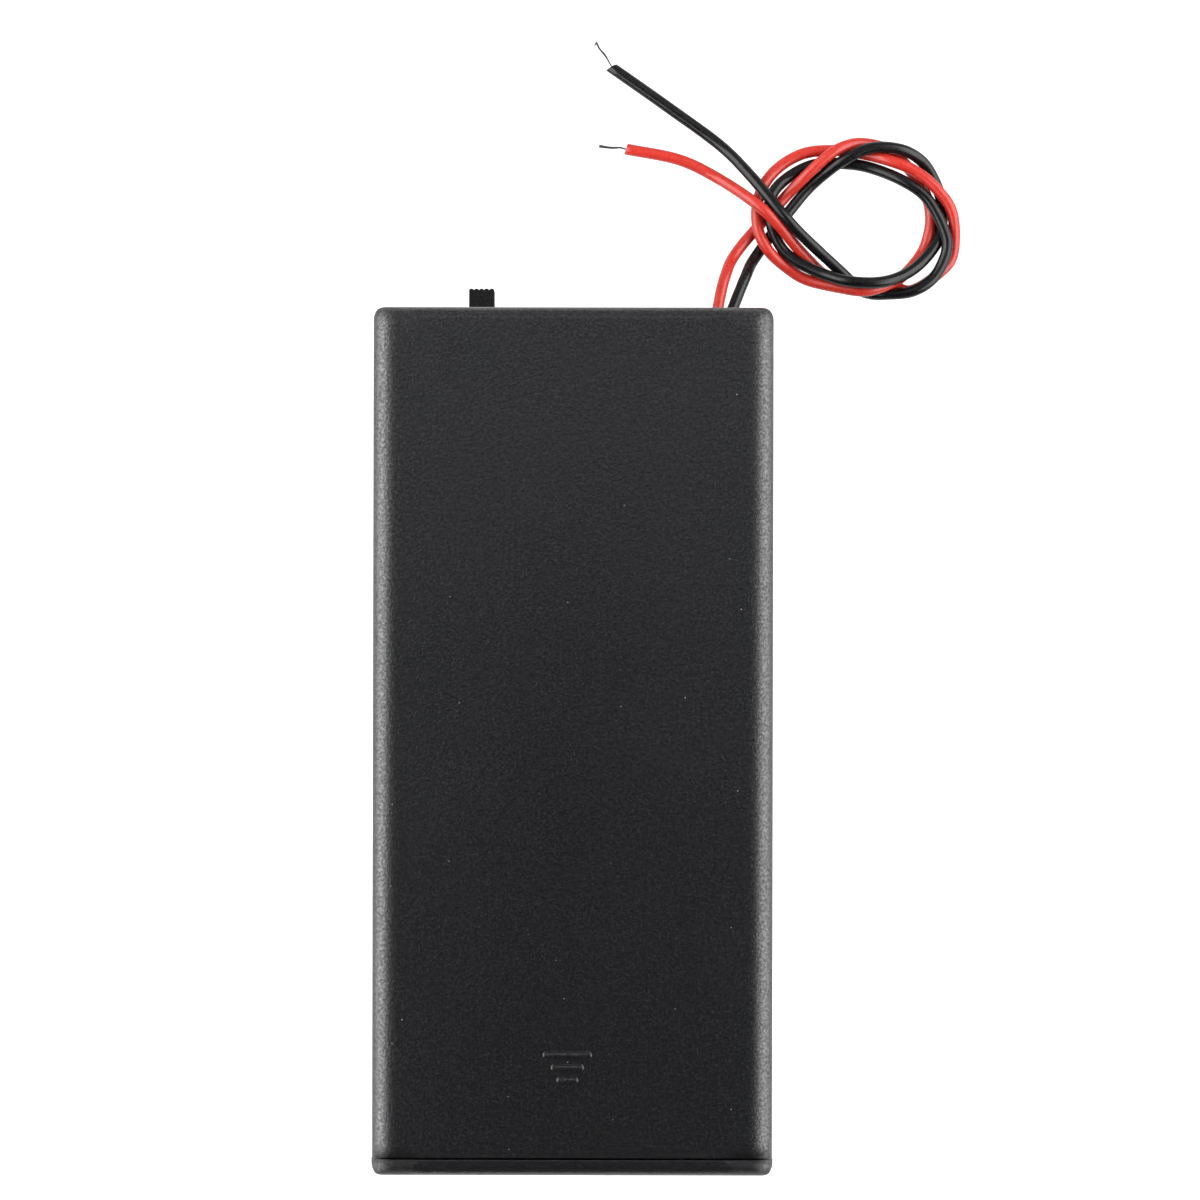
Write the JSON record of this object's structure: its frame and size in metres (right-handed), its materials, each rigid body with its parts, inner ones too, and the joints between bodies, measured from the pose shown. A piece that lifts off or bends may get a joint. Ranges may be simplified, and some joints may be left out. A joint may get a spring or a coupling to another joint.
{
  "type": "cylindrical battery holder",
  "caption": "Covered case for cylindrical cells in series, with a sliding cover, spring contacts, a slide switch and free red and black leads.",
  "frame": {"origin": "centre of the flat back face, on which the holder rests", "axes": "+Z out of the cover, +Y along the cells towards the switch and leads, +X across the cells"},
  "size_m": [0.0652, 0.1246, 0.0223],
  "materials": {
    "case_plastic": "black, fine spark texture",
    "knob_plastic": "black, smooth",
    "nickel_plate": "nickel-plated sheet",
    "spring_wire": "nickel-plated wire",
    "terminal_brass": "plain stamped",
    "laminate": "brown paper laminate",
    "solder": "soft satin",
    "red_insulation": "soft semi-gloss",
    "black_insulation": "soft semi-gloss",
    "tinned_strand": "tinned, twisted"
  },
  "bodies": {
    "tray": {"base_tray": "case_plastic", "bridge_plate": "nickel_plate", "bridge_spring": "spring_wire", "positive_plate": "nickel_plate", "negative_plate": "nickel_plate", "negative_spring": "spring_wire", "switch_frame": "nickel_plate", "switch_board": "laminate", "switch_terminal_1": "terminal_brass", "switch_terminal_2": "terminal_brass", "switch_terminal_3": "terminal_brass", "solder_positive": "solder", "solder_negative": "solder", "solder_middle": "solder", "solder_black": "solder", "jumper_wire": "black_insulation", "lead_red": "red_insulation", "lead_black": "black_insulation", "lead_red_tip": "tinned_strand", "lead_black_tip": "tinned_strand"},
    "cover": {"sliding_cover": "case_plastic"},
    "knob": {"switch_knob": "knob_plastic", "switch_contact": "terminal_brass"}
  },
  "joints": [
    {"name": "cover_slide", "type": "slide", "parent": "tray", "child": "cover", "axis": [0, 1, 0], "range_m": [0, 0.092]},
    {"name": "switch_slide", "type": "slide", "parent": "tray", "child": "knob", "axis": [1, 0, 0], "range_m": [0, 0.002]}
  ]
}
